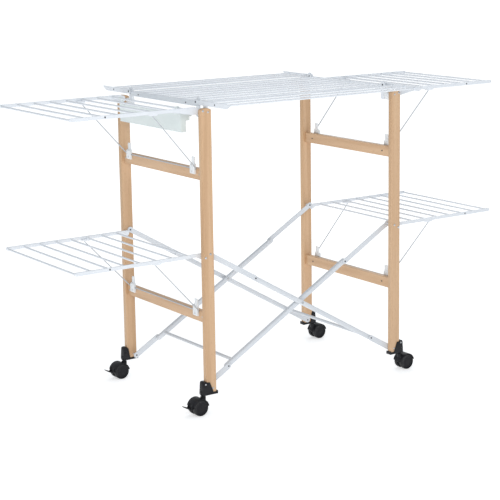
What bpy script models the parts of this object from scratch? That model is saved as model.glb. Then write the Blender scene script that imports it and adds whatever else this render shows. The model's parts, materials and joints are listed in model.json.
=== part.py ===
"""Rolling clothes drying rack.

Two wheeled wooden end frames, four folding wings, a lifting top with two flaps, and scissor struts.

Metres, +Z up.  X runs from the left frame to the right frame, Y from front to back.
The origin is on the floor, under the middle of the rack.
"""
import bpy
import bmesh
from math import asin, atan2, cos, pi, radians, sin
from mathutils import Matrix, Vector

# ---------------------------------------------------------------- driving sizes
GAP = 0.0003                 # between pieces that touch
HALF_LENGTH = 0.415          # frame centre plane to rack centre, along X
HALF_WIDTH = 0.274           # post centre to rack centre, along Y
POST_WIDE = 0.0406           # along X
POST_THICK = 0.020           # along Y
POST_BOTTOM = 0.0736
POST_TOP = 1.066
POST_ARCH = 0.006            # how far the shoulders of a post top drop
POST_INNER = HALF_WIDTH - POST_THICK / 2
POST_OUTER = HALF_WIDTH + POST_THICK / 2
EDGE = 0.0015                # eased edge of the wood

BAR_THICK = 0.020            # crossbar, along X
BAR_TALL = 0.039
BAR_HEIGHTS = {"upper": 0.837, "lower": 0.338}

PIN_RADIUS = 0.0027          # steel pivot pins turning in the posts
PIN_END = 0.2760             # how far out along Y they reach
ROD_RADIUS = 0.0037          # hanging rods

WING_PIVOT_OUT = 0.013       # wing pivot, outwards from the frame plane
WING_PIVOTS = {"upper": 1.057, "lower": 0.553}
ARM_INNER = 0.2517           # wing arm, along Y
ARM_OUTER = 0.2577
ARM_TALL = 0.012
ARM_LENGTH = 0.4882
WING_ROD_FIRST = 0.0436      # from the pivot
WING_ROD_PITCH = 0.0628
WING_RODS = 8
WING_ROD_RISE = 0.0055

PROP_OUT = 0.0123            # prop base, outwards from the frame plane
PROP_RADIUS = 0.002
PROP_LENGTH = 0.2626
PROP_TUCK = 0.0068           # end of a prop below its wing's pivot
PROP_BASE_HALF = 0.2350
PROP_END_HALF = 0.2485
PROP_BEND = 0.007
CATCH_CENTRE = 0.216
CATCH_WIDE = 0.028
FINGER_WIDE = 0.018

STRUT_PIVOT = 0.409          # |X| of the struts' pivots on the posts
STRUT_TOP = 0.564
STRUT_FOOT = 0.0855
UPPER_LINK = 0.2335
FOOT_LINK = 0.109
LINK_THICK = 0.004
LINK_HALF = 0.0092
LINK_EYE = 0.011             # round end of a link at its post
FOOT_LINK_HALF = 0.0105
TUBE_RADIUS = 0.0075         # half thickness of a flattened tube, along Y
TUBE_TALL = 0.0085           # its half height
TUBE_EDGE = 0.003
TUBE_PAST_PIVOT = 0.0015     # how far a tube runs past its two outer pivots before its round end
CROSS_RADIUS = 0.006         # cross tube that ties the two tubes of a strut
CROSS_BACK = 0.031           # cross tube from the lower pivot, towards the middle
LAYERS = {                   # for each strut: tube centre and link plate inner face, along Y
    "a": (0.2515, 0.2595),
    "b": (0.2315, 0.2396),
}

RAIL_INNER = 0.4030          # top centre section, rails along Y
RAIL_OUTER = 0.4080
RAIL_BOTTOM = 1.0655
RAIL_TOP = 1.0835
TOP_ROD_Z = 1.0797
TOP_ROD_PITCH = 0.060
TOP_ROD_FIRST = -0.209
TOP_AXIS_Z = 1.082
PLATE_BOTTOM = 1.030
PLATE_TOP = 1.097
PLATE_HALF = 0.010
FLAP_INNER = 0.4125          # flap arms, along X
FLAP_OUTER = 0.4165
FLAP_BOTTOM = 1.0730
FLAP_TOP = 1.0890
FLAPS = {                    # hinge along Y; rods, start of the chamfer and tip measured from the hinge
    "front": {
        "sign": -1,
        "hinge": -0.2205,
        "rods": (0.0485, 0.1085, 0.1685),
        "chamfer": 0.189,
        "tip": 0.213,
    },
    "back": {
        "sign": 1,
        "hinge": 0.2303,
        "rods": (0.0347, 0.0917, 0.1487),
        "chamfer": 0.165,
        "tip": 0.188,
    },
}
LIFT_X = -0.4055             # the top lifts about this axis, along Y
KNUCKLE = 0.0055
LIFT_PIN = 0.0020
EAR_CLEAR = 0.0105           # lift axis to the ear's upright, clear of the swinging flap arms
EAR_WIDE = 0.0085

CASTER_OUT = 0.030           # swivel axis, outwards from the frame plane
CASTER_TRAIL = 0.021
WHEEL_RADIUS = 0.0285
WHEEL_HALF = 0.0230
WHEEL_INNER = 0.0076
HOOD_INNER = 0.0290
HOOD_OUTER = 0.0322
AXLE_RADIUS = 0.0040
STEM_RADIUS = 0.0055
STEM_TOP = 0.0780
LEVER_RADIUS = 0.0340        # brake lever pivot, from the axle
LEVER_HALF = 0.0100
PEDAL_HALF = 0.0090

PLATE_UNDER = 0.0662         # foot bracket
GUSSET_TOP = 0.115

TRAY_X = (-0.470, -0.445)    # peg tray, hung outside the left posts
TRAY_HALF = 0.2055           # along Y
TRAY_Z = (0.980, 1.043)
TRAY_TAPER = 0.002
TRAY_WALL = 0.002
HOOK_THICK = 0.002
HOOK_Y = (0.187, 0.197)      # the two hooks, along Y
HOOK_DROP = 0.0025           # how far a hook reaches below the middle of its rod
EAR_STEPS = ((-0.432, 1.019), (-0.4225, 1.032))    # inner corners of the stepped front ear, X and Z

BEECH = ("beech", (0.74, 0.56, 0.37, 1.0), 0.55, 0.0)
WHITE_STEEL = ("white_steel", (0.86, 0.87, 0.88, 1.0), 0.35, 0.0)
WHITE_PLASTIC = ("white_plastic", (0.84, 0.86, 0.86, 1.0), 0.40, 0.0)
BLACK_PLASTIC = ("black_plastic", (0.03, 0.03, 0.035, 1.0), 0.45, 0.0)
WHEEL_RUBBER = ("wheel", (0.05, 0.05, 0.055, 1.0), 0.60, 0.0)
STEEL = ("steel", (0.55, 0.56, 0.58, 1.0), 0.35, 1.0)


# ---------------------------------------------------------------- shape helpers
def new_object(name, bm):
    """Turn a bmesh into a scene object with outward normals."""
    bmesh.ops.recalc_face_normals(bm, faces=bm.faces)
    mesh = bpy.data.meshes.new(name)
    bm.to_mesh(mesh)
    bm.free()
    obj = bpy.data.objects.new(name, mesh)
    bpy.context.collection.objects.link(obj)
    return obj


def loft(rings, name="shape"):
    """Close a list of equal point rings into one solid."""
    bm = bmesh.new()
    rows = [[bm.verts.new(point) for point in ring] for ring in rings]
    for low, high in zip(rows, rows[1:]):
        for i in range(len(low)):
            j = (i + 1) % len(low)
            bm.faces.new((low[i], low[j], high[j], high[i]))
    bm.faces.new(list(reversed(rows[0])))
    bm.faces.new(rows[-1])
    return new_object(name, bm)


def prism(outline, axis, low, high):
    """Extrude a flat outline along X, Y or Z.  The outline gives the other two coordinates in order."""
    place = {
        "X": lambda p, t: (t, p[0], p[1]),
        "Y": lambda p, t: (p[0], t, p[1]),
        "Z": lambda p, t: (p[0], p[1], t),
    }[axis]
    return loft([[place(p, low) for p in outline], [place(p, high) for p in outline]])


def box(x0, x1, y0, y1, z0, z1):
    return prism([(x0, z0), (x1, z0), (x1, z1), (x0, z1)], "Y", min(y0, y1), max(y0, y1))


def arc(centre, radius, start, end, steps):
    """Points on a circular arc, angles in degrees."""
    turn = [radians(start + (end - start) * i / steps) for i in range(steps + 1)]
    return [(centre[0] + radius * cos(a), centre[1] + radius * sin(a)) for a in turn]


def disc(centre, radius, axis, low, high, sides=12):
    return prism(arc(centre, radius, 0, 360, sides)[:-1], axis, low, high)


def stadium(start, end, radius, steps=6):
    """Outline with two round ends between two points."""
    heading = atan2(end[1] - start[1], end[0] - start[0]) * 180 / pi
    far = arc(end, radius, heading - 90, heading + 90, steps)
    near = arc(start, radius, heading + 90, heading + 270, steps)
    return far + near


def lathe(profile, centre, sides=24):
    """Turn (along, radius) points about an axis along Y."""
    turn = [2 * pi * i / sides for i in range(sides)]
    rings = []
    for along, radius in profile:
        ring = [(centre[0] + radius * cos(t), centre[1] + along, centre[2] + radius * sin(t)) for t in turn]
        rings.append(ring)
    return loft(rings)


def wire(points, radius, bend, sides=10, steps=4):
    """Round wire or tube along a line of points with rounded corners."""
    path = [Vector(points[0])]
    for before, corner, after in zip(points, points[1:], points[2:]):
        corner = Vector(corner)
        into = (Vector(before) - corner).normalized()
        out = (Vector(after) - corner).normalized()
        half = into.angle(out) / 2
        reach = bend * cos(half) / sin(half)
        middle = corner + (into + out).normalized() * (bend / sin(half))
        first = corner + into * reach - middle
        last = corner + out * reach - middle
        sweep = first.angle(last)
        across = first.cross(last).normalized()
        for i in range(steps + 1):
            path.append(middle + Matrix.Rotation(sweep * i / steps, 3, across) @ first)
    path.append(Vector(points[-1]))
    rings = []
    side = (path[1] - path[0]).orthogonal().normalized()
    for i, point in enumerate(path):
        before = path[max(i - 1, 0)]
        after = path[min(i + 1, len(path) - 1)]
        ahead = (after - before).normalized()
        side = (side - ahead * side.dot(ahead)).normalized()
        other = ahead.cross(side)
        stretch = 1.0
        if 0 < i < len(path) - 1:
            stretch = 1 / cos((point - before).angle(after - point) / 2)
        turn = [2 * pi * k / sides for k in range(sides)]
        rings.append([point + (side * cos(t) + other * sin(t)) * radius * stretch for t in turn])
    return loft(rings)


def combine(base, others, operation):
    """Weld or cut solids exactly and keep one mesh."""
    for other in others:
        step = base.modifiers.new("combine", "BOOLEAN")
        step.operation = operation
        step.solver = "EXACT"
        step.object = other
        other.hide_render = True
        other.display_type = "WIRE"
    bpy.context.view_layer.update()
    graph = bpy.context.evaluated_depsgraph_get()
    mesh = bpy.data.meshes.new_from_object(base.evaluated_get(graph))
    base.modifiers.clear()
    base.data = mesh
    for other in others:
        bpy.data.objects.remove(other)
    return base


def weld(base, *others):
    return combine(base, others, "UNION")


def carve(base, *others):
    return combine(base, others, "DIFFERENCE")


def ease(obj, width, segments=1, angle=40):
    """Bevel the sharp edges of a solid."""
    step = obj.modifiers.new("ease", "BEVEL")
    step.width = width
    step.segments = segments
    step.limit_method = "ANGLE"
    step.angle_limit = radians(angle)
    step.use_clamp_overlap = True
    return combine(obj, (), "UNION")


def mirrored(obj, sx=1, sy=1):
    """Flip a solid to the other frame (sx) or the other side (sy)."""
    obj.data.transform(Matrix.Diagonal((sx, sy, 1, 1)))
    if sx * sy < 0:
        obj.data.flip_normals()
    return obj


def material(kind):
    label, colour, roughness, metallic = kind
    found = bpy.data.materials.new(label)
    found.use_nodes = True
    shader = found.node_tree.nodes["Principled BSDF"]
    shader.inputs["Base Color"].default_value = colour
    shader.inputs["Roughness"].default_value = roughness
    shader.inputs["Metallic"].default_value = metallic
    found.diffuse_color = colour
    return found


def finish(obj, name, kind, pivot=(0, 0, 0), smooth=False):
    """Name a node, give it its own material and put its origin on its joint."""
    obj.name = name
    obj.data.name = name
    own = material(kind)
    own.name = name
    obj.data.materials.clear()
    obj.data.materials.append(own)
    for face in obj.data.polygons:
        face.material_index = 0
    obj.data.transform(Matrix.Translation(-Vector(pivot)))
    obj.location = pivot
    if smooth:
        obj.data.shade_smooth()
        obj.data.set_sharp_from_angle(angle=radians(35))
    return obj


SIDES = {"left": -1, "right": 1}
ENDS = {"front": -1, "back": 1}


# ---------------------------------------------------------------- wooden frames
def build_post(side, end):
    half = POST_WIDE / 2
    shoulder = POST_TOP - POST_ARCH
    rise = (half * half + POST_ARCH * POST_ARCH) / (2 * POST_ARCH)
    span = atan2(half, rise - POST_ARCH) * 180 / pi
    top = arc((HALF_LENGTH, POST_TOP - rise), rise, 90 - span, 90 + span, 6)
    outline = [(HALF_LENGTH - half, POST_BOTTOM), (HALF_LENGTH + half, POST_BOTTOM)]
    outline += [(HALF_LENGTH + half, shoulder)] + top[1:-1] + [(HALF_LENGTH - half, shoulder)]
    post = ease(prism(outline, "Y", POST_INNER, POST_OUTER), EDGE, angle=50)
    holes = [(HALF_LENGTH + WING_PIVOT_OUT, z) for z in WING_PIVOTS.values()]
    holes += [(STRUT_PIVOT, STRUT_TOP), (STRUT_PIVOT, STRUT_FOOT)]
    depth = PIN_END + 0.0005
    cutters = [disc(at, PIN_RADIUS + GAP, "Y", POST_INNER - 0.01, depth) for at in holes]
    post = carve(post, *cutters)
    mirrored(post, SIDES[side], ENDS[end])
    return finish(post, f"post_{side}_{end}", BEECH)


def build_crossbar(side, level):
    half = POST_INNER - GAP
    centre = BAR_HEIGHTS[level]
    near = HALF_LENGTH - BAR_THICK / 2
    far = HALF_LENGTH + BAR_THICK / 2
    bar = box(near, far, -half, half, centre - BAR_TALL / 2, centre + BAR_TALL / 2)
    bar = ease(bar, EDGE)
    mirrored(bar, SIDES[side])
    return finish(bar, f"crossbar_{level}_{side}", BEECH)


# ---------------------------------------------------------------- side wings and props
def wing_arm_outline(level, x, z):
    """Arm seen from the side; the upper arms widen below the pivot."""
    end = ARM_LENGTH
    tip = [(end - 0.003, 0.0), (end, 0.003), (end, ARM_TALL - 0.003), (end - 0.003, ARM_TALL)]
    if level == "upper":
        hinge = [(0.012, ARM_TALL), (0.003, 0.0095), (-0.005, 0.0080), (-0.009, 0.0030)]
        hinge += [(-0.009, -0.0060), (-0.0065, -0.0125), (0.000, -0.0148), (0.026, -0.0138), (0.105, 0.0)]
    else:
        hinge = [(-0.002, ARM_TALL), (-0.0075, 0.0085), (-0.0085, 0.0030)]
        hinge += [(-0.0085, -0.0030), (-0.004, -0.0080), (0.004, -0.0080), (0.020, 0.0)]
    return [(x + p[0], z + p[1]) for p in tip + hinge]


def clip_outline(x, z):
    """Plastic clip under an arm that takes the end of a prop."""
    drop = [(0.160, 0.002), (0.160, -0.0035), (0.164, -0.0050)]
    drop += [(0.187, -0.0050), (0.1935, -0.0022), (0.1935, 0.002)]
    return [(x + p[0], z + p[1]) for p in drop]


def build_wing(side, level):
    x = HALF_LENGTH + WING_PIVOT_OUT
    z = WING_PIVOTS[level]
    arms = []
    for sign in (-1, 1):
        low, high = sorted((sign * ARM_INNER, sign * ARM_OUTER))
        arms.append(prism(wing_arm_outline(level, x, z), "Y", low, high))
        low, high = sorted((sign * (ARM_INNER - 0.008), sign * (ARM_OUTER - 0.001)))
        arms.append(prism(clip_outline(x, z), "Y", low, high))
        low, high = sorted((sign * (ARM_OUTER - 0.002), sign * PIN_END))
        arms.append(disc((x, z), PIN_RADIUS, "Y", low, high))
    middle = (ARM_INNER + ARM_OUTER) / 2
    rods = []
    for k in range(WING_RODS):
        at = (x + WING_ROD_FIRST + WING_ROD_PITCH * k, z + WING_ROD_RISE)
        rods.append(disc(at, ROD_RADIUS, "Y", -middle, middle, sides=8))
    wing = weld(arms[0], *arms[1:], *rods)
    mirrored(wing, SIDES[side])
    return finish(wing, f"wing_{level}_{side}", WHITE_STEEL, (SIDES[side] * x, 0, z), smooth=True)


def prop_height(level):
    return BAR_HEIGHTS[level] + BAR_TALL / 2 - PROP_RADIUS


def build_prop(side, level):
    x = HALF_LENGTH + PROP_OUT
    z = prop_height(level)
    rise = WING_PIVOTS[level] - PROP_TUCK - z
    end_x = x + PROP_LENGTH * cos(asin(rise / PROP_LENGTH))
    end_z = z + rise
    points = [(end_x, -PROP_END_HALF, end_z), (x, -PROP_BASE_HALF, z), (x, PROP_BASE_HALF, z)]
    points.append((end_x, PROP_END_HALF, end_z))
    prop = wire(points, PROP_RADIUS, PROP_BEND, sides=8, steps=3)
    mirrored(prop, SIDES[side])
    return finish(prop, f"prop_{level}_{side}", WHITE_STEEL, (SIDES[side] * x, 0, z), smooth=True)


def build_catch(side, level, end):
    base = HALF_LENGTH + BAR_THICK / 2 + GAP
    z = prop_height(level)
    x = HALF_LENGTH + PROP_OUT
    room = PROP_RADIUS + 0.0004
    body = [(base, z - 0.0180), (base + 0.0065, z - 0.0180), (base + 0.0087, z - 0.0160)]
    body += [(base + 0.0087, z + 0.0125), (base + 0.0044, z + 0.0175), (base, z + 0.0175)]
    body += [(base, z + room), (x + room * 0.6, z + room), (x + room, z + room * 0.5)]
    body += [(x + room, z - room * 0.5), (x + room * 0.6, z - room), (base, z - room)]
    low, high = CATCH_CENTRE - CATCH_WIDE / 2, CATCH_CENTRE + CATCH_WIDE / 2
    shell = prism(body, "Y", low, high)
    finger = [(base, z + 0.0120), (base + 0.0034, z + 0.0120), (base + 0.0038, z + 0.0350)]
    finger += [(base + 0.0030, z + 0.0405), (base + 0.0016, z + 0.0418), (base, z + 0.0405)]
    low, high = CATCH_CENTRE - FINGER_WIDE / 2, CATCH_CENTRE + FINGER_WIDE / 2
    catch = weld(shell, prism(finger, "Y", low, high))
    mirrored(catch, SIDES[side], ENDS[end])
    return finish(catch, f"catch_{level}_{side}_{end}", WHITE_PLASTIC)


# ---------------------------------------------------------------- scissor struts
def strut_points():
    """Straight strut from an upper pivot on the left to a foot pivot on the right."""
    top = Vector((-STRUT_PIVOT, 0, STRUT_TOP))
    foot = Vector((STRUT_PIVOT, 0, STRUT_FOOT))
    ahead = (foot - top).normalized()
    return top, top + ahead * UPPER_LINK, foot - ahead * FOOT_LINK, foot, ahead


def crossing():
    return (0.0, 0.0, (STRUT_TOP + STRUT_FOOT) / 2)


def build_tube(strut):
    """Two straight tubes tied by a cross tube near their lower ends."""
    top, upper, lower, foot, ahead = strut_points()
    y = LAYERS[strut][0]
    start = upper - ahead * TUBE_PAST_PIVOT
    stop = lower + ahead * TUBE_PAST_PIVOT
    tie = lower - ahead * CROSS_BACK
    middle = crossing()
    tubes = []
    holes = []
    for sign in (-1, 1):
        outline = stadium((start.x, start.z), (stop.x, stop.z), TUBE_TALL)
        low, high = sorted((sign * (y - TUBE_RADIUS), sign * (y + TUBE_RADIUS)))
        tubes.append(ease(prism(outline, "Y", low, high), TUBE_EDGE, segments=2, angle=60))
        low, high = sorted((sign * (y - 0.012), sign * (y + 0.012)))
        holes.append(disc((middle[0], middle[2]), LIFT_PIN + GAP, "Y", low, high, sides=10))
    cross = disc((tie.x, tie.z), CROSS_RADIUS, "Y", -y, y, sides=14)
    tube = carve(weld(cross, *tubes), *holes)
    mirrored(tube, 1 if strut == "a" else -1)
    return finish(tube, f"tube_{strut}", WHITE_STEEL, middle, smooth=True)


def build_link(strut, part, end):
    """Flat link with round ends, a raised rib and a pin into its post."""
    top, upper, lower, foot, ahead = strut_points()
    inner = LAYERS[strut][1]
    start, stop, half = (top, upper, LINK_HALF) if part == "link" else (foot, lower, FOOT_LINK_HALF)
    plate = prism(stadium((start.x, start.z), (stop.x, stop.z), half), "Y", inner, inner + LINK_THICK)
    plate = ease(plate, 0.0008, angle=60)
    pivot_disc = disc((start.x, start.z), LINK_EYE, "Y", inner, inner + LINK_THICK - 0.0004, sides=16)
    pin = disc((start.x, start.z), PIN_RADIUS, "Y", inner + 0.001, PIN_END)
    link = weld(plate, pivot_disc, pin)
    sx = 1 if strut == "a" else -1
    mirrored(link, sx, ENDS[end])
    return finish(link, f"{part}_{strut}_{end}", WHITE_STEEL, (sx * start.x, 0, start.z), smooth=True)


def build_crossing_pin(end):
    """Pin through both tubes, with a spacer between them and a head at each end."""
    middle = crossing()
    at = (middle[0], middle[2])
    outer = LAYERS["a"][0]
    inner = LAYERS["b"][0]
    shaft = disc(at, LIFT_PIN, "Y", inner - TUBE_RADIUS - 0.0010, outer + TUBE_RADIUS + 0.0010, sides=10)
    spacer = disc(at, 0.006, "Y", inner + TUBE_RADIUS + GAP, outer - TUBE_RADIUS - GAP, sides=14)
    low_head = disc(at, 0.0045, "Y", inner - TUBE_RADIUS - 0.0018, inner - TUBE_RADIUS - GAP, sides=14)
    high_head = disc(at, 0.0045, "Y", outer + TUBE_RADIUS + GAP, outer + TUBE_RADIUS + 0.0018, sides=14)
    pin = weld(shaft, spacer, low_head, high_head)
    mirrored(pin, 1, ENDS[end])
    return finish(pin, f"crossing_pin_{end}", STEEL, middle, smooth=True)


# ---------------------------------------------------------------- top rack
def plate_outline(centre):
    """Hinge plate seen along X: straight sides and a round top."""
    low = [(centre - PLATE_HALF + 0.003, PLATE_BOTTOM), (centre + PLATE_HALF - 0.003, PLATE_BOTTOM)]
    low.append((centre + PLATE_HALF, PLATE_BOTTOM + 0.003))
    crown = arc((centre, PLATE_TOP - PLATE_HALF), PLATE_HALF, 0, 180, 8)
    return low + crown + [(centre - PLATE_HALF, PLATE_BOTTOM + 0.003)]


def build_top_centre():
    parts = []
    front = FLAPS["front"]["hinge"]
    back = FLAPS["back"]["hinge"]
    for sx in (-1, 1):
        low, high = sorted((sx * RAIL_INNER, sx * RAIL_OUTER))
        parts.append(box(low, high, front, back, RAIL_BOTTOM, RAIL_TOP))
        for centre in (front, back):
            parts.append(prism(plate_outline(centre), "X", low, high))
    span = (RAIL_INNER + RAIL_OUTER) / 2
    for k in range(8):
        at = (TOP_ROD_FIRST + TOP_ROD_PITCH * k, TOP_ROD_Z)
        parts.append(disc(at, ROD_RADIUS, "X", -span, span, sides=8))
    cuts = []
    for centre, out in ((front, -1), (back, 1)):
        edge = centre + out * PLATE_HALF
        low, high = sorted((edge - out * 0.004, edge + out * 0.0028))
        parts.append(disc((LIFT_X, TOP_AXIS_Z), KNUCKLE, "Y", low, high, sides=16))
        cuts.append(disc((LIFT_X, TOP_AXIS_Z), LIFT_PIN + GAP, "Y", low - 0.001, high + 0.001, sides=12))
        low, high = sorted((edge - out * 0.004, edge + out * 0.0110))
        parts.append(disc((-LIFT_X, TOP_AXIS_Z), LIFT_PIN, "Y", low, high, sides=12))
    for sx in (-1, 1):
        for centre in (front, back):
            low, high = sorted((sx * (RAIL_OUTER - 0.002), sx * (FLAP_OUTER + 0.0008)))
            parts.append(disc((centre, TOP_AXIS_Z), PIN_RADIUS, "X", low, high, sides=12))
    centre = carve(weld(parts[0], *parts[1:]), *cuts)
    return finish(centre, "top_centre", WHITE_STEEL, (LIFT_X, 0, TOP_AXIS_Z), smooth=True)


def build_flap(end):
    """Folding flap: two arms with chamfered tips, holes for the hinge pins, and three rods."""
    flap = FLAPS[end]
    sign = flap["sign"]
    hinge = flap["hinge"]
    low = FLAP_BOTTOM - TOP_AXIS_Z
    high = FLAP_TOP - TOP_AXIS_Z
    outline = [(-0.007, -0.006), (0.006, low), (flap["chamfer"], low), (flap["tip"], 0.004)]
    outline += [(flap["tip"], high), (-0.004, high), (-0.008, 0.003)]
    outline = [(hinge + sign * p[0], TOP_AXIS_Z + p[1]) for p in outline]
    parts = []
    holes = []
    for sx in (-1, 1):
        low, high = sorted((sx * FLAP_INNER, sx * FLAP_OUTER))
        parts.append(prism(outline, "X", low, high))
        low, high = sorted((sx * (FLAP_INNER - 0.002), sx * (FLAP_OUTER + 0.002)))
        holes.append(disc((hinge, TOP_AXIS_Z), PIN_RADIUS + GAP, "X", low, high))
    span = (FLAP_INNER + FLAP_OUTER) / 2
    for out in flap["rods"]:
        parts.append(disc((hinge + sign * out, TOP_AXIS_Z), ROD_RADIUS, "X", -span, span, sides=8))
    done = carve(weld(parts[0], *parts[1:]), *holes)
    return finish(done, f"top_flap_{end}", WHITE_STEEL, (0, hinge, TOP_AXIS_Z), smooth=True)


def build_top_bracket(side, end):
    """Bracket inside a post top.  The left ones carry the lift pins, the right ones are rests."""
    inner = abs(FLAPS[end]["hinge"]) + PLATE_HALF + 0.0031
    ear_x = abs(LIFT_X)
    if side == "left":
        near = 0.3840
        root = ear_x - EAR_CLEAR
        ear = [(root - EAR_WIDE, 1.050), (root, 1.050), (root, TOP_AXIS_Z - KNUCKLE)]
        ear += arc((ear_x, TOP_AXIS_Z), KNUCKLE, -90, 90, 8) + [(root - EAR_WIDE, TOP_AXIS_Z + KNUCKLE)]
    else:
        near = 0.3970
        rest = TOP_AXIS_Z - LIFT_PIN - GAP
        ear = [(ear_x - KNUCKLE, 1.040), (ear_x + 0.0035, 1.040), (ear_x + 0.0035, 1.056)]
        ear += [(ear_x + KNUCKLE, 1.060), (ear_x + KNUCKLE, rest - 0.002), (ear_x + KNUCKLE - 0.002, rest)]
        ear.append((ear_x - KNUCKLE, rest))
    base = ease(box(near, 0.4095, 0.2436, POST_INNER - GAP, 1.031, 1.055), 0.0012)
    parts = [prism(ear, "Y", inner, 0.2500)]
    if side == "left":
        parts.append(disc((ear_x, TOP_AXIS_Z), LIFT_PIN, "Y", inner - 0.0060, inner + 0.001, sides=10))
    bracket = weld(base, *parts)
    mirrored(bracket, SIDES[side], ENDS[end])
    return finish(bracket, f"top_bracket_{side}_{end}", WHITE_PLASTIC)


# ---------------------------------------------------------------- feet and casters
def build_foot_bracket(side, end):
    """Cup under the post: outer gusset, two cheeks, an inner lip and a socket for the caster stem."""
    inner = POST_INNER - 0.0028
    outer = POST_OUTER + 0.0028
    face = HALF_LENGTH + POST_WIDE / 2 + GAP
    top = POST_BOTTOM - GAP
    stem = (HALF_LENGTH + CASTER_OUT, HALF_WIDTH)
    plate = box(HALF_LENGTH - POST_WIDE / 2 - 0.003, HALF_LENGTH + 0.036, inner, outer, PLATE_UNDER, top)
    fin = [(face, top - 0.003), (HALF_LENGTH + 0.037, top - 0.003), (HALF_LENGTH + 0.034, GUSSET_TOP - 0.004)]
    fin += [(HALF_LENGTH + 0.031, GUSSET_TOP), (face, GUSSET_TOP)]
    gusset = prism(fin, "Y", inner, outer)
    boss = disc(stem, 0.0093, "Z", PLATE_UNDER, 0.082, sides=20)
    side_edge = [(face + 0.002, top - 0.003), (face + 0.002, GUSSET_TOP - 0.002)]
    wide = [(HALF_LENGTH - 0.0085, top - 0.003)] + side_edge + [(HALF_LENGTH + 0.0075, GUSSET_TOP - 0.004)]
    narrow = [(HALF_LENGTH + 0.009, top - 0.003)] + side_edge + [(face - 0.004, GUSSET_TOP - 0.004)]
    outer_cheek = prism(wide, "Y", POST_OUTER + GAP, outer)
    inner_cheek = prism(narrow, "Y", inner, POST_INNER - GAP)
    back = HALF_LENGTH - POST_WIDE / 2
    lip = box(back - 0.0045, back - GAP, inner, outer, PLATE_UNDER, POST_BOTTOM + 0.004)
    bracket = weld(ease(plate, 0.001), gusset, boss, outer_cheek, inner_cheek, lip)
    socket = disc(stem, STEM_RADIUS + GAP, "Z", PLATE_UNDER - 0.01, STEM_TOP + 0.0010, sides=20)
    bracket = carve(bracket, socket)
    mirrored(bracket, SIDES[side], ENDS[end])
    return finish(bracket, f"foot_bracket_{side}_{end}", BLACK_PLASTIC)


def caster_centres():
    swivel = HALF_LENGTH + CASTER_OUT
    return swivel, swivel + CASTER_TRAIL


def lever_pivot():
    swivel, axle = caster_centres()
    return axle + LEVER_RADIUS, WHEEL_RADIUS


def build_caster_body(side, end):
    """Hood over the wheels, web between them and the swivel stem."""
    swivel, axle = caster_centres()
    centre = (axle, WHEEL_RADIUS)
    y = HALF_WIDTH
    hood_outline = arc(centre, HOOD_OUTER, 12, 172, 14) + arc(centre, HOOD_INNER - 0.0004, 172, 12, 14)
    hood = prism(hood_outline, "Y", y - WHEEL_HALF, y + WHEEL_HALF)
    web_outline = arc(centre, HOOD_OUTER - 0.001, 8, 176, 14) + arc(centre, 0.0235, 190, 352, 12)
    web = prism(web_outline, "Y", y - WHEEL_INNER + 0.0007, y + WHEEL_INNER - 0.0007)
    tower = disc((swivel, y), 0.0100, "Z", 0.046, 0.0615, sides=20)
    stem = disc((swivel, y), STEM_RADIUS, "Z", 0.058, STEM_TOP, sides=20)
    parts = [web, tower, stem]
    braked = side == "left"
    pivot = lever_pivot()
    if braked:
        lug = stadium(pivot, (axle + 0.0272, WHEEL_RADIUS + 0.0127), 0.0036)
        for low, high in ((y - 0.0140, y - 0.0104), (y + 0.0104, y + 0.0140)):
            parts.append(prism(lug, "Y", low, high))
    body = weld(hood, *parts)
    cuts = [disc(centre, HOOD_INNER, "Y", y - 0.03, y - WHEEL_INNER + 0.0006, sides=28)]
    cuts.append(disc(centre, HOOD_INNER, "Y", y + WHEEL_INNER - 0.0006, y + 0.03, sides=28))
    cuts.append(disc(centre, AXLE_RADIUS + GAP, "Y", y - 0.012, y + 0.012, sides=16))
    body = carve(body, *cuts)
    if braked:
        body = weld(body, disc(pivot, 0.0015, "Y", y - 0.0120, y + 0.0120, sides=10))
    mirrored(body, SIDES[side], ENDS[end])
    origin = (SIDES[side] * swivel, ENDS[end] * y, PLATE_UNDER)
    return finish(body, f"caster_body_{side}_{end}", BLACK_PLASTIC, origin, smooth=True)


def build_wheels(side, end):
    """Two wheels on one axle."""
    swivel, axle = caster_centres()
    half = [(0.0203, 0.0030), (0.0203, 0.0085), (0.0190, 0.0165), (0.0212, 0.0235), (0.0228, 0.0262)]
    half += [(0.0218, 0.0280), (0.0195, WHEEL_RADIUS), (0.0105, WHEEL_RADIUS), (0.0082, 0.0277)]
    half += [(WHEEL_INNER, 0.0258), (WHEEL_INNER, AXLE_RADIUS)]
    profile = half + [(-a, r) for a, r in reversed(half)]
    wheels = lathe(profile, (axle, HALF_WIDTH, WHEEL_RADIUS))
    mirrored(wheels, SIDES[side], ENDS[end])
    origin = (SIDES[side] * axle, ENDS[end] * HALF_WIDTH, WHEEL_RADIUS)
    return finish(wheels, f"wheels_{side}_{end}", WHEEL_RUBBER, origin, smooth=True)


def build_lever(end):
    """Brake lever: knuckle on the hood's pin and a thin pedal that rises outwards."""
    x, z = lever_pivot()
    y = HALF_WIDTH
    under = [(-0.0010, -0.0028), (0.0050, -0.0016), (0.0150, 0.0034), (0.0245, 0.0086)]
    under.append((0.0255, 0.0100))
    over = [(0.0250, 0.0124), (0.0140, 0.0074), (0.0040, 0.0036), (-0.0010, 0.0032)]
    pedal = [(x + along, z + up) for along, up in under + over]
    knuckle = disc((x, z), 0.0033, "Y", y - LEVER_HALF, y + LEVER_HALF, sides=16)
    lever = weld(knuckle, prism(pedal, "Y", y - PEDAL_HALF, y + PEDAL_HALF))
    lever = carve(lever, disc((x, z), 0.0018, "Y", y - 0.012, y + 0.012, sides=12))
    mirrored(lever, -1, ENDS[end])
    return finish(lever, f"brake_lever_{end}", BLACK_PLASTIC, (-x, ENDS[end] * y, z), smooth=True)


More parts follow.
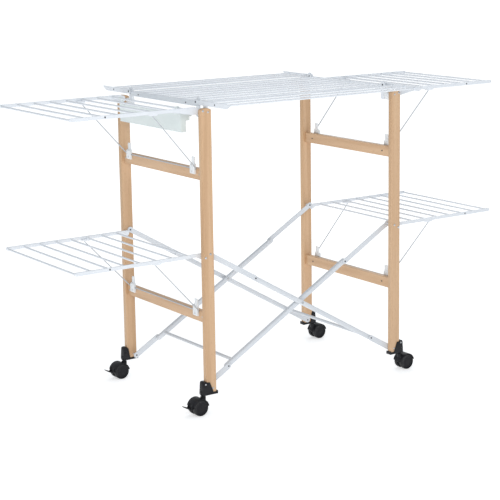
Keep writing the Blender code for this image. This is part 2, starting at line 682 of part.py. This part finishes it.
# ---------------------------------------------------------------- peg tray
def trough(shrink):
    """Tray section across X, pulled in by one wall."""
    x0, x1 = TRAY_X
    z0, z1 = TRAY_Z
    low, high = x0 + TRAY_TAPER + shrink, x1 - TRAY_TAPER - shrink
    lift = z1 + (0.002 if shrink else 0)
    return [(low, z0 + shrink), (high, z0 + shrink), (x1 - shrink, lift), (x0 + shrink, lift)]


def build_tray():
    """Open tray that hangs on the first rod of the upper left wing, with a stepped ear at the front."""
    rim = TRAY_Z[1]
    tray = prism(trough(0), "Y", -TRAY_HALF, TRAY_HALF)
    tray = carve(tray, prism(trough(TRAY_WALL), "Y", TRAY_WALL - TRAY_HALF, TRAY_HALF - TRAY_WALL))
    rod_x = -(HALF_LENGTH + WING_PIVOT_OUT + WING_ROD_FIRST)
    rod_z = WING_PIVOTS["upper"] + WING_ROD_RISE
    clear = ROD_RADIUS + GAP
    thick = clear + HOOK_THICK
    low = rod_z - HOOK_DROP
    hook = [(rod_x + thick, rim - 0.006), (rod_x + thick, rod_z + thick), (rod_x - thick, rod_z + thick)]
    hook += [(rod_x - thick, low), (rod_x - clear, low), (rod_x - clear, rod_z + clear)]
    hook += [(rod_x + clear, rod_z + clear), (rod_x + clear, rim - 0.0005)]
    hook += [(TRAY_X[0] + 0.001, rim - 0.0005), (TRAY_X[0] + 0.001, rim - 0.006)]
    near, far = HOOK_Y
    hooks = [prism(hook, "Y", near, far), prism(hook, "Y", -far, -near)]
    (first_x, first_z), (second_x, second_z) = EAR_STEPS
    root = TRAY_X[1] - 0.003
    ear = [(root, first_z), (first_x, first_z), (first_x, second_z), (second_x, second_z)]
    ear += [(second_x, rim - 0.0005), (root, rim - 0.0005)]
    plate = prism(ear, "Y", -TRAY_HALF, TRAY_WALL - TRAY_HALF)
    origin = (-(HALF_LENGTH + WING_PIVOT_OUT), 0, WING_PIVOTS["upper"])
    return finish(weld(tray, plate, *hooks), "peg_tray", WHITE_PLASTIC, origin)


# ---------------------------------------------------------------- assembly
def build():
    for obj in list(bpy.data.objects):
        bpy.data.objects.remove(obj)
    for side in SIDES:
        for level in BAR_HEIGHTS:
            build_crossbar(side, level)
            build_wing(side, level)
            build_prop(side, level)
            for end in ENDS:
                build_catch(side, level, end)
        for end in ENDS:
            build_post(side, end)
            build_foot_bracket(side, end)
            build_caster_body(side, end)
            build_wheels(side, end)
            build_top_bracket(side, end)
    for end in ENDS:
        build_lever(end)
        build_flap(end)
        build_crossing_pin(end)
        for strut in LAYERS:
            build_link(strut, "link", end)
            build_link(strut, "foot_link", end)
    for strut in LAYERS:
        build_tube(strut)
    build_top_centre()
    build_tray()


build()
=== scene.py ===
"""Looks for the rolling clothes drying rack.

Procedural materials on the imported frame's nodes, small screws, rivets and rod ends, a pale studio
and the camera.
Metres, in the frame's own axes: +X from the left frame to the right one, +Y from front to back, +Z up.
"""
import json
from math import cos, pi, radians, sin
import bpy
import bmesh
from mathutils import Matrix, Vector


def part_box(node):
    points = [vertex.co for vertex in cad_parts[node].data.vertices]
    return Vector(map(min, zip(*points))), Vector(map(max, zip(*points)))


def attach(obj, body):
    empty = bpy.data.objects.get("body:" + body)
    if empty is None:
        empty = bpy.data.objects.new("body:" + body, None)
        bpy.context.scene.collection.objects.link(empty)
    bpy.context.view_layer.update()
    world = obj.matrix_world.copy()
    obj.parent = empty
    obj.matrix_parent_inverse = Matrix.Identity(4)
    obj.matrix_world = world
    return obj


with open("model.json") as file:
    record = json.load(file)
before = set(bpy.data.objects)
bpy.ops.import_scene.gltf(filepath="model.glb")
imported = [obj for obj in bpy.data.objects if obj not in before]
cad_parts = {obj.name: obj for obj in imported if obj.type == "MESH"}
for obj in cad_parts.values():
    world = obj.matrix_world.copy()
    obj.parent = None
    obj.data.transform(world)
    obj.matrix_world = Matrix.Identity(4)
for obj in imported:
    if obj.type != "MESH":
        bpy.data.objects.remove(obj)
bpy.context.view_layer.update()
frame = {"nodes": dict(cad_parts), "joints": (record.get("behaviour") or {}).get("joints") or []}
NODES = frame["nodes"]
SIDES = {"left": -1, "right": 1}
ENDS = {"front": -1, "back": 1}

# ---------------------------------------------------------------- places of the trim
WING_PIVOT_OUT = 0.013       # wing pivot, outwards from the middle of a post
WING_PIVOTS = {"upper": 1.057, "lower": 0.553}
ARM_INNER = 0.2517           # faces of the wing arms, along Y
ARM_OUTER = 0.2577
WING_RODS = 8
WING_ROD_FIRST = 0.0436      # from a wing's pivot, outwards
WING_ROD_PITCH = 0.0628
WING_ROD_RISE = 0.0055
WING_ROD_RADIUS = 0.0036
SHOULDER_DROP = 0.0005       # weld collar at a rod's inner end, below the rod's middle
SHOULDER_RADIUS = 0.0049
SHOULDER_HEIGHT = 0.0008
ROD_END_HEIGHT = 0.0007
ARM_SCREW_X = 0.787
ARM_SCREW_RISE = 0.0060

CATCH_Y = 0.216
CATCH_SCREW_RISE = 0.0085    # from a catch's lower end
BAR_SCREW_Y = 0.250
POST_SCREW = (-0.007, 1.052)             # outwards from the middle of a post, and height
STRUT_SCREW_OUT = -0.006
FOOT_SCREW_RISE = 0.003                  # above the struts' lower pivots
BRACKET_SCREW = (0.0255, 0.1065)
TOP_AXIS_Z = 1.082
RAIL_INNER = 0.4030          # faces of the top's rails, along X
RAIL_OUTER = 0.4080
FLAP_OUTER = 0.4165
TOP_RODS = 8
TOP_ROD_FIRST = -0.209
TOP_ROD_PITCH = 0.060
TOP_ROD_Z = 1.0797
TOP_ROD_RADIUS = 0.0035
RAIL_SCREWS = (-0.145, 0.1755)
RAIL_SCREW_Z = 1.0735
FLAP_SCREW_Z = 1.0810
FLAPS = {                    # hinge and arm screw along Y; rods from the hinge
    "front": {"hinge": -0.2205, "screw": -0.339, "rods": (0.0485, 0.1085, 0.1685)},
    "back": {"hinge": 0.2303, "screw": 0.339, "rods": (0.0347, 0.0917, 0.1487)},
}

STRUT_PIVOT = 0.409          # |X| of the struts' pivots
STRUT_TOP = 0.564
STRUT_FOOT = 0.0855
UPPER_LINK = 0.2335
FOOT_LINK = 0.109
LINK_THICK = 0.0040
LINK_INNER = {"a": 0.2595, "b": 0.2396}

HUB_RADIUS = 0.0252          # where a wheel's glossy hub ends
TREAD_RADIUS = 0.0262        # and its duller tread starts
MOULD_RINGS = 5200.0         # radians for each metre of radius


# ---------------------------------------------------------------- node graphs
class Graph:
    """A material with a Principled shader and short calls for its nodes."""

    def __init__(self, name):
        self.material = bpy.data.materials.new(name)
        self.material.use_nodes = True
        self.tree = self.material.node_tree
        self.shader = self.tree.nodes["Principled BSDF"]
        coordinates = self.node("ShaderNodeTexCoord")
        self.place = coordinates.outputs["Object"]

    def node(self, kind, **settings):
        made = self.tree.nodes.new(kind)
        for key, value in settings.items():
            setattr(made, key, value)
        return made

    def feed(self, socket, value):
        if isinstance(value, bpy.types.NodeSocket):
            self.tree.links.new(value, socket)
        elif value is not None:
            socket.default_value = value

    def mapping(self, scale, shift=(0, 0, 0)):
        made = self.node("ShaderNodeMapping")
        self.feed(made.inputs["Vector"], self.place)
        made.inputs["Scale"].default_value = scale
        made.inputs["Location"].default_value = shift
        return made.outputs["Vector"]

    def noise(self, vector, scale, detail=4.0, rough=0.55, distort=0.0):
        made = self.node("ShaderNodeTexNoise")
        self.feed(made.inputs["Vector"], vector)
        made.inputs["Scale"].default_value = scale
        made.inputs["Detail"].default_value = detail
        made.inputs["Roughness"].default_value = rough
        made.inputs["Distortion"].default_value = distort
        return made.outputs["Fac"]

    def ramp(self, value, *stops):
        made = self.node("ShaderNodeValToRGB")
        self.feed(made.inputs["Fac"], value)
        points = made.color_ramp.elements
        while len(points) < len(stops):
            points.new(0.5)
        for point, (where, colour) in zip(points, stops):
            point.position = where
            point.color = (*colour, 1.0)
        return made.outputs["Color"]

    def grey(self, value, low, high, start=0.0, end=1.0):
        made = self.node("ShaderNodeMapRange")
        self.feed(made.inputs["Value"], value)
        made.inputs["From Min"].default_value = start
        made.inputs["From Max"].default_value = end
        made.inputs["To Min"].default_value = low
        made.inputs["To Max"].default_value = high
        return made.outputs["Result"]

    def mix(self, amount, first, second, blend="MIX"):
        made = self.node("ShaderNodeMix", data_type="RGBA", blend_type=blend)
        self.feed(made.inputs["Factor"], amount)
        for socket, value in ((made.inputs[6], first), (made.inputs[7], second)):
            if isinstance(value, tuple) and len(value) == 3:
                value = (*value, 1.0)
            self.feed(socket, value)
        return made.outputs[2]

    def math(self, operation, first, second=None):
        made = self.node("ShaderNodeMath", operation=operation)
        self.feed(made.inputs[0], first)
        self.feed(made.inputs[1], second)
        return made.outputs[0]

    def bump(self, height, strength, distance, below=None):
        made = self.node("ShaderNodeBump")
        made.inputs["Strength"].default_value = strength
        made.inputs["Distance"].default_value = distance
        self.feed(made.inputs["Height"], height)
        self.feed(made.inputs["Normal"], below)
        return made.outputs["Normal"]

    def finish(self, **sockets):
        for name, value in sockets.items():
            if isinstance(value, tuple) and len(value) == 3 and name in ("Base_Color", "Emission_Color"):
                value = (*value, 1.0)
            self.feed(self.shader.inputs[name.replace("_", " ")], value)
        return self.material


def beech(name, along, seed):
    """Lacquered beech: long soft streaks, fine rays and pores that run with the grain."""
    g = Graph(name)
    shift = (seed * 1.37, seed * 0.71, seed * 2.11)

    def grained(across, lengthwise):
        scale = (across, across, lengthwise) if along == "Z" else (across, lengthwise, across)
        return g.mapping(scale, shift)

    streaks = g.noise(grained(26, 1.1), 1.0, 6, 0.6, 0.7)
    bands = g.noise(grained(90, 2.4), 1.0, 4, 0.6, 0.3)
    rays = g.noise(grained(620, 75), 1.0, 2, 0.5)
    pores = g.noise(grained(1500, 60), 1.0, 3, 0.6)
    dark, common, pale = (0.550, 0.332, 0.177), (0.656, 0.423, 0.246), (0.726, 0.496, 0.305)
    base = g.ramp(streaks, (0.30, dark), (0.52, common), (0.72, pale))
    base = g.mix(g.grey(bands, 0.0, 0.30, 0.45, 0.75), base, (0.510, 0.310, 0.160))
    base = g.mix(g.grey(rays, 0.0, 0.42, 0.60, 0.72), base, (0.390, 0.222, 0.110))
    tone = 0.96 + 0.06 * ((seed * 7) % 5) / 4
    base = g.mix(1.0, base, (tone, tone * 0.995, tone * 0.985), "MULTIPLY")
    fine = g.bump(pores, 0.18, 0.0002)
    normal = g.bump(bands, 0.12, 0.0006, fine)
    return g.finish(Base_Color=base, Roughness=g.grey(streaks, 0.36, 0.52), Normal=normal,
                    Coat_Weight=0.18, Coat_Roughness=0.32)


def powder_coat(name, seed=0, light=1.0):
    """White powder coat on steel: faint orange peel and slightly uneven gloss."""
    g = Graph(name)
    wide = g.noise(g.mapping((9, 9, 9), (seed, 0, 0)), 1.0, 3)
    peel = g.noise(g.mapping((900, 900, 900), (0, seed, 0)), 1.0, 2, 0.5)
    dull = (0.735 * light, 0.768 * light, 0.812 * light)
    clean = (0.790 * light, 0.818 * light, 0.855 * light)
    colour = g.ramp(wide, (0.30, dull), (0.70, clean))
    speck = g.noise(g.mapping((340, 340, 340), (seed, seed, 0)), 1.0, 1)
    colour = g.mix(g.grey(speck, 0.0, 0.12, 0.66, 0.74), colour, (0.52, 0.55, 0.59))
    return g.finish(Base_Color=colour, Roughness=g.grey(wide, 0.30, 0.44), Normal=g.bump(peel, 0.10, 0.0002),
                    Specular_IOR_Level=0.5)


def white_plastic(name):
    """Moulded white plastic, a little cloudy inside, with a fine spark-eroded grain."""
    g = Graph(name)
    cloud = g.noise(g.mapping((14, 14, 14)), 1.0, 3)
    grain = g.noise(g.mapping((1400, 1400, 1400)), 1.0, 2)
    colour = g.ramp(cloud, (0.3, (0.78, 0.80, 0.81)), (0.7, (0.84, 0.85, 0.86)))
    return g.finish(Base_Color=colour, Roughness=g.grey(cloud, 0.38, 0.50),
                    Normal=g.bump(grain, 0.12, 0.0001), Subsurface_Weight=0.12,
                    Subsurface_Scale=0.003, Subsurface_Radius=(1.0, 1.0, 1.0))


def tray_plastic(name):
    """Thin frosted plastic; the light that passes its walls is a faint glow."""
    g = Graph(name)
    cloud = g.noise(g.mapping((18, 7, 18)), 1.0, 4)
    grain = g.noise(g.mapping((900, 900, 900)), 1.0, 2)
    colour = g.ramp(cloud, (0.3, (0.62, 0.68, 0.67)), (0.7, (0.71, 0.76, 0.75)))
    return g.finish(Base_Color=colour, Roughness=g.grey(cloud, 0.34, 0.48),
                    Normal=g.bump(grain, 0.10, 0.0001), Subsurface_Weight=0.20,
                    Subsurface_Scale=0.003, Subsurface_Radius=(1.0, 1.0, 1.0),
                    Emission_Color=(0.86, 0.90, 0.90), Emission_Strength=0.05)


def black_plastic(name):
    """Black moulded plastic with a leather-fine grain and paler rubbed patches."""
    g = Graph(name)
    grain = g.noise(g.mapping((1100, 1100, 1100)), 1.0, 3)
    rub = g.noise(g.mapping((60, 60, 60)), 1.0, 5)
    deep, common, rubbed = (0.012, 0.012, 0.014), (0.020, 0.020, 0.023), (0.042, 0.042, 0.046)
    colour = g.ramp(rub, (0.35, deep), (0.62, common), (0.80, rubbed))
    return g.finish(Base_Color=colour, Roughness=g.grey(rub, 0.26, 0.46),
                    Normal=g.bump(grain, 0.12, 0.0002), Specular_IOR_Level=0.18)


def wheel_plastic(name, centre):
    """Twin wheel: glossy dished hub, duller tread with scuffs and faint mould rings."""
    g = Graph(name)
    x, y, z = centre
    shifted = g.mapping((1, 0, 1), (-x, 0, -z))
    split = g.node("ShaderNodeVectorMath", operation="LENGTH")
    g.feed(split.inputs[0], shifted)
    radius = split.outputs["Value"]
    tread = g.grey(radius, 0.0, 1.0, HUB_RADIUS, TREAD_RADIUS)
    rings = g.math("SINE", g.math("MULTIPLY", radius, MOULD_RINGS))
    scuff = g.noise(g.mapping((170, 60, 170), (x, y, 0)), 1.0, 5, 0.65)
    hub = g.ramp(scuff, (0.3, (0.010, 0.010, 0.012)), (0.8, (0.020, 0.020, 0.023)))
    deep, common, scuffed = (0.020, 0.020, 0.021), (0.034, 0.034, 0.035), (0.075, 0.073, 0.070)
    worn = g.ramp(scuff, (0.35, deep), (0.60, common), (0.78, scuffed))
    rough = g.node("ShaderNodeMix", data_type="FLOAT")
    g.feed(rough.inputs["Factor"], tread)
    g.feed(rough.inputs[2], 0.20)
    g.feed(rough.inputs[3], 0.50)
    return g.finish(Base_Color=g.mix(tread, hub, worn), Roughness=rough.outputs[0],
                    Normal=g.bump(rings, 0.10, 0.0002), Specular_IOR_Level=0.16)


def steel(name, colour, rough):
    """Zinc plated steel with fine turned marks."""
    g = Graph(name)
    marks = g.noise(g.mapping((700, 700, 700)), 1.0, 3)
    stain = g.noise(g.mapping((90, 90, 90)), 1.0, 3)
    dark = tuple(c * 0.72 for c in colour)
    return g.finish(Base_Color=g.ramp(stain, (0.35, dark), (0.65, colour)), Metallic=1.0,
                    Roughness=g.grey(marks, rough - 0.08, rough + 0.12), Normal=g.bump(marks, 0.12, 0.0001))


# ---------------------------------------------------------------- dress the CAD nodes
def dress(node, material, width=0.0, angle=35):
    """Give a CAD node its material, smooth shading between sharp edges and eased corners."""
    obj = NODES[node]
    if not obj.data.materials:
        obj.data.materials.append(material)
    for index in range(len(obj.data.materials)):
        obj.data.materials[index] = material
    custom = obj.data.attributes.get("custom_normal")
    if custom:
        obj.data.attributes.remove(custom)
    for face in obj.data.polygons:
        face.use_smooth = True
    joined = obj.modifiers.new("joined", "WELD")
    joined.merge_threshold = 0.00002
    if width:
        eased = obj.modifiers.new("eased", "BEVEL")
        eased.width = width
        eased.segments = 2
        eased.limit_method = "ANGLE"
        eased.angle_limit = radians(angle)
        eased.harden_normals = False
    sharp = obj.modifiers.new("sharp", "EDGE_SPLIT")
    sharp.split_angle = radians(angle)


def dress_all():
    coat = powder_coat("white_powder_coat")
    strut_coat = powder_coat("strut_powder_coat", 5, 0.90)
    wire_coat = powder_coat("wire_powder_coat", 7, 0.66)
    plastic = white_plastic("white_moulding")
    black = black_plastic("black_moulding")
    zinc = steel("zinc_steel", (0.62, 0.63, 0.65), 0.34)
    wood = 0
    for name in sorted(NODES):
        if name.startswith("post_") or name.startswith("crossbar_"):
            wood += 1
            along = "Z" if name.startswith("post_") else "Y"
            dress(name, beech("beech_" + name, along, wood))
        elif name.startswith("wheels_"):
            dress(name, wheel_plastic("plastic_" + name, middle(name)), angle=50)
        elif name.startswith(("foot_bracket_", "caster_body_", "brake_lever_")):
            dress(name, black, 0.0007)
        elif name == "peg_tray":
            dress(name, tray_plastic("frosted_tray"), 0.0009)
        elif name.startswith(("catch_", "top_bracket_")):
            dress(name, plastic, 0.0005)
        elif name.startswith("crossing_pin_"):
            dress(name, zinc)
        elif name.startswith(("tube_", "link_", "foot_link_")):
            dress(name, strut_coat)
        elif name.startswith("prop_"):
            dress(name, wire_coat)
        else:
            dress(name, coat)


# ---------------------------------------------------------------- screws, rivets and rod ends
def turned(bm, profile, place, sides, cross=0.0):
    """Add a turned form about local Z; the ring at index 1 can pull in to a cross recess."""
    rows = []
    for index, (radius, height) in enumerate(profile):
        row = []
        for i in range(sides):
            angle = 2 * pi * i / sides
            reach = radius * (1 - cross * abs(sin(2 * angle)) ** 0.6) if index <= 1 else radius
            row.append(bm.verts.new(place @ Vector((reach * cos(angle), reach * sin(angle), height))))
        rows.append(row)
    for low, high in zip(rows, rows[1:]):
        for i in range(sides):
            j = (i + 1) % sides
            bm.faces.new((low[i], low[j], high[j], high[i]))
    bm.faces.new(list(reversed(rows[0])))
    bm.faces.new(rows[-1])


def screw_profile(radius, height):
    """From the bottom of the recess, over the crown, to the seat."""
    return [(radius * 0.40, height * 0.25), (radius * 0.46, height * 0.97), (radius * 0.62, height),
            (radius * 0.88, height * 0.80), (radius, height * 0.40), (radius, -0.0002)]


def rivet_profile(radius, height):
    return [(radius * 0.12, height), (radius * 0.40, height * 0.94), (radius * 0.72, height * 0.70),
            (radius * 0.94, height * 0.30), (radius, -0.0002)]


class Trim:
    """Small turned parts gathered into one piece for each body and kind."""

    def __init__(self):
        self.groups = {}

    def add(self, body, kind, at, normal, radius, height=None):
        turn = Vector(normal).to_track_quat("Z", "Y").to_matrix().to_4x4()
        spin = Matrix.Rotation((at[0] * 37 + at[1] * 61 + at[2] * 83) % 1.5, 4, "Z")
        place = Matrix.Translation(at) @ turn @ spin
        self.groups.setdefault((body, kind), []).append((place, radius, height or radius * 0.5))

    def build(self, materials):
        for (body, kind), items in self.groups.items():
            bm = bmesh.new()
            for place, radius, height in items:
                if kind in ("screw", "dark_screw"):
                    turned(bm, screw_profile(radius, height), place, 24, 0.55)
                else:
                    turned(bm, rivet_profile(radius, height), place, 16)
            bmesh.ops.recalc_face_normals(bm, faces=bm.faces)
            mesh = bpy.data.meshes.new(f"{kind}_{body}")
            bm.to_mesh(mesh)
            bm.free()
            mesh.shade_smooth()
            mesh.set_sharp_from_angle(angle=radians(40))
            obj = bpy.data.objects.new(f"{kind}_{body}", mesh)
            bpy.context.scene.collection.objects.link(obj)
            mesh.materials.append(materials[kind])
            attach(obj, body)


def middle(node):
    low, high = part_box(node)
    return (low + high) / 2


def face(node, way, axis):
    """The node's face towards way (-1 or 1) along an axis (0 for X, 1 for Y)."""
    low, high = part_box(node)
    return high[axis] if way > 0 else low[axis]


def trim_posts(trim, side, sx, end, sy):
    """Pivot ends and screws on a post's outer face, and the foot bracket's screw."""
    body = f"{side}_frame"
    post = f"post_{side}_{end}"
    x = middle(post).x
    outer = face(post, sy, 1)
    pivots = [(WING_PIVOT_OUT, z, 0.0042) for z in WING_PIVOTS.values()]
    pivots += [(*POST_SCREW, 0.0036), (STRUT_SCREW_OUT, STRUT_TOP, 0.0042)]
    pivots.append((STRUT_SCREW_OUT, STRUT_FOOT + FOOT_SCREW_RISE, 0.0034))
    for out, z, radius in pivots:
        trim.add(body, "screw", (x + sx * out, outer, z), (0, sy, 0), radius)
    outer = face(f"foot_bracket_{side}_{end}", sy, 1)
    out, z = BRACKET_SCREW
    trim.add(body, "screw", (x + sx * out, outer, z), (0, sy, 0), 0.0032)


def trim_bars(trim, side, sx, end, sy):
    """Screws that hold the crossbars and the prop catches."""
    body = f"{side}_frame"
    for level in WING_PIVOTS:
        bar = f"crossbar_{level}_{side}"
        catch = f"catch_{level}_{side}_{end}"
        z = middle(bar).z
        trim.add(body, "screw", (face(bar, sx, 0), sy * BAR_SCREW_Y, z), (sx, 0, 0), 0.0032)
        trim.add(body, "dark_screw", (face(bar, -sx, 0), sy * CATCH_Y, z), (-sx, 0, 0), 0.0030)
        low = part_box(catch)[0].z + CATCH_SCREW_RISE
        trim.add(body, "screw", (face(catch, sx, 0), sy * CATCH_Y, low), (sx, 0, 0), 0.0030)


def trim_frames(trim):
    for side, sx in SIDES.items():
        for end, sy in ENDS.items():
            trim_posts(trim, side, sx, end, sy)
            trim_bars(trim, side, sx, end, sy)


def trim_wings(trim):
    """Rod ends, weld collars and the dark screw on each wing arm."""
    for side, sx in SIDES.items():
        for level in WING_PIVOTS:
            wing = f"wing_{level}_{side}"
            x, _, z = next(joint["pos_m"] for joint in frame["joints"] if joint["child"] == wing)
            for sy in ENDS.values():
                for k in range(WING_RODS):
                    rod_x = x + sx * (WING_ROD_FIRST + WING_ROD_PITCH * k)
                    rod_z = z + WING_ROD_RISE
                    trim.add(wing, "rod_end", (rod_x, sy * ARM_OUTER, rod_z), (0, sy, 0),
                             WING_ROD_RADIUS, ROD_END_HEIGHT)
                    trim.add(wing, "rod_end", (rod_x, sy * ARM_INNER, rod_z - SHOULDER_DROP), (0, -sy, 0),
                             SHOULDER_RADIUS, SHOULDER_HEIGHT)
                at = (sx * ARM_SCREW_X, sy * ARM_OUTER, z + ARM_SCREW_RISE)
                trim.add(wing, "dark_screw", at, (0, sy, 0), 0.0030)


def trim_top(trim):
    """Fasteners and rod ends on the rails, hinge plates and flap arms of the top."""
    for sx in SIDES.values():
        for y in RAIL_SCREWS:
            trim.add("top_centre", "dark_screw", (sx * RAIL_OUTER, y, RAIL_SCREW_Z), (sx, 0, 0), 0.0026)
        for end, sy in ENDS.items():
            flap = FLAPS[end]
            body = f"top_flap_{end}"
            hinge = flap["hinge"]
            trim.add(body, "dark_screw", (sx * FLAP_OUTER, hinge, TOP_AXIS_Z), (sx, 0, 0), 0.0034)
            trim.add(body, "dark_screw", (sx * FLAP_OUTER, flap["screw"], FLAP_SCREW_Z), (sx, 0, 0), 0.0026)
            trim.add("top_centre", "dark_screw", (sx * RAIL_INNER, hinge, TOP_AXIS_Z), (-sx, 0, 0), 0.0036)
            for out in flap["rods"]:
                at = (sx * FLAP_OUTER, hinge + sy * out, TOP_AXIS_Z)
                trim.add(body, "rod_end", at, (sx, 0, 0), WING_ROD_RADIUS, ROD_END_HEIGHT)
        for k in range(TOP_RODS):
            at = (sx * RAIL_OUTER, TOP_ROD_FIRST + TOP_ROD_PITCH * k, TOP_ROD_Z)
            trim.add("top_centre", "rod_end", at, (sx, 0, 0), TOP_ROD_RADIUS, ROD_END_HEIGHT)


def trim_struts(trim):
    """Rivets where the links meet the tubes and the posts.  The side next to a post has none at the post."""
    top = Vector((-STRUT_PIVOT, 0, STRUT_TOP))
    foot = Vector((STRUT_PIVOT, 0, STRUT_FOOT))
    run = (foot - top).normalized()
    rivets = [("link", top, 0.0032, False), ("link", top + run * UPPER_LINK, 0.0032, True)]
    rivets += [("foot_link", foot, 0.0030, False), ("foot_link", foot - run * FOOT_LINK, 0.0030, True)]
    for (strut, inner), sx in zip(LINK_INNER.items(), (1, -1)):
        for sy in ENDS.values():
            for depth, way in ((inner + LINK_THICK, 1), (inner, -1)):
                for link, at, radius, both in rivets:
                    if both or way < 0:
                        place = (sx * at.x, sy * depth, at.z)
                        trim.add(f"{link}_{strut}", "dark_screw", place, (0, sy * way, 0), radius)


# ---------------------------------------------------------------- studio
def studio():
    scene = bpy.context.scene
    scene.view_settings.view_transform = "Standard"
    scene.view_settings.look = "None"
    mesh = bpy.data.meshes.new("floor")
    reach = 60.0
    corners = [(-reach, -reach, 0), (reach, -reach, 0), (reach, reach, 0), (-reach, reach, 0)]
    mesh.from_pydata(corners, [], [(0, 1, 2, 3)])
    floor = bpy.data.objects.new("floor", mesh)
    floor.location = (0, 0, -0.0003)
    scene.collection.objects.link(floor)
    g = Graph("pale_floor")
    cloud = g.noise(g.mapping((1.5, 1.5, 1.5)), 1.0, 2)
    away = g.node("ShaderNodeVectorMath", operation="LENGTH")
    g.feed(away.inputs[0], g.place)
    glow = g.grey(away.outputs["Value"], 0.50, 0.72, 0.6, 5.0)
    colour = g.ramp(cloud, (0.3, (0.90, 0.90, 0.90)), (0.7, (0.92, 0.92, 0.92)))
    mesh.materials.append(g.finish(Base_Color=colour, Roughness=0.9, Specular_IOR_Level=0.1,
                                   Emission_Color=(1, 1, 1), Emission_Strength=glow))

    world = bpy.data.worlds.new("studio")
    world.use_nodes = True
    scene.world = world
    tree = world.node_tree
    light = tree.nodes["Background"]
    light.inputs["Color"].default_value = (0.90, 0.95, 1.0, 1.0)
    light.inputs["Strength"].default_value = 0.50
    backdrop = tree.nodes.new("ShaderNodeBackground")
    backdrop.inputs["Color"].default_value = (1.0, 1.0, 1.0, 1.0)
    backdrop.inputs["Strength"].default_value = 1.0
    rays = tree.nodes.new("ShaderNodeLightPath")
    blend = tree.nodes.new("ShaderNodeMixShader")
    tree.links.new(rays.outputs["Is Camera Ray"], blend.inputs[0])
    tree.links.new(light.outputs[0], blend.inputs[1])
    tree.links.new(backdrop.outputs[0], blend.inputs[2])
    tree.links.new(blend.outputs[0], tree.nodes["World Output"].inputs["Surface"])

    def lamp(name, at, towards, size, power):
        light = bpy.data.lights.new(name, "AREA")
        light.shape = "RECTANGLE"
        light.size = size[0]
        light.size_y = size[1]
        light.energy = power
        obj = bpy.data.objects.new(name, light)
        obj.location = at
        obj.rotation_euler = (Vector(towards) - Vector(at)).to_track_quat("-Z", "Y").to_euler()
        scene.collection.objects.link(obj)

    lamp("key", (-3.2, -4.2, 2.7), (0, 0, 0.5), (2.6, 2.2), 92)
    lamp("rim", (3.2, 2.6, 3.0), (0, 0, 0.6), (2.0, 2.0), 34)


def camera():
    """Camera in front of the left frame's near post, turned to the right and a little down."""
    place = (-3.11, -4.457, 1.6486)
    heading, down, roll = 34.4956, 10.632, 0.839
    data = bpy.data.cameras.new("camera")
    data.sensor_width = 36.0
    data.lens = 107.1
    data.shift_y = -0.08
    data.clip_end = 200.0
    cam = bpy.data.objects.new("camera", data)
    turn = Matrix.Rotation(radians(-heading), 4, "Z")
    tilt = Matrix.Rotation(radians(90 - down), 4, "X")
    twist = Matrix.Rotation(radians(-roll), 4, "Z")
    cam.matrix_world = Matrix.Translation(place) @ turn @ tilt @ twist
    bpy.context.scene.collection.objects.link(cam)
    bpy.context.scene.camera = cam


dress_all()
details = Trim()
trim_frames(details)
trim_wings(details)
trim_top(details)
trim_struts(details)
details.build(
    {
        "screw": steel("screw_steel", (0.70, 0.71, 0.73), 0.30),
        "dark_screw": steel("dark_steel", (0.16, 0.16, 0.17), 0.38),
        "rod_end": powder_coat("rod_end_coat", 3),
    },
)
studio()
camera()
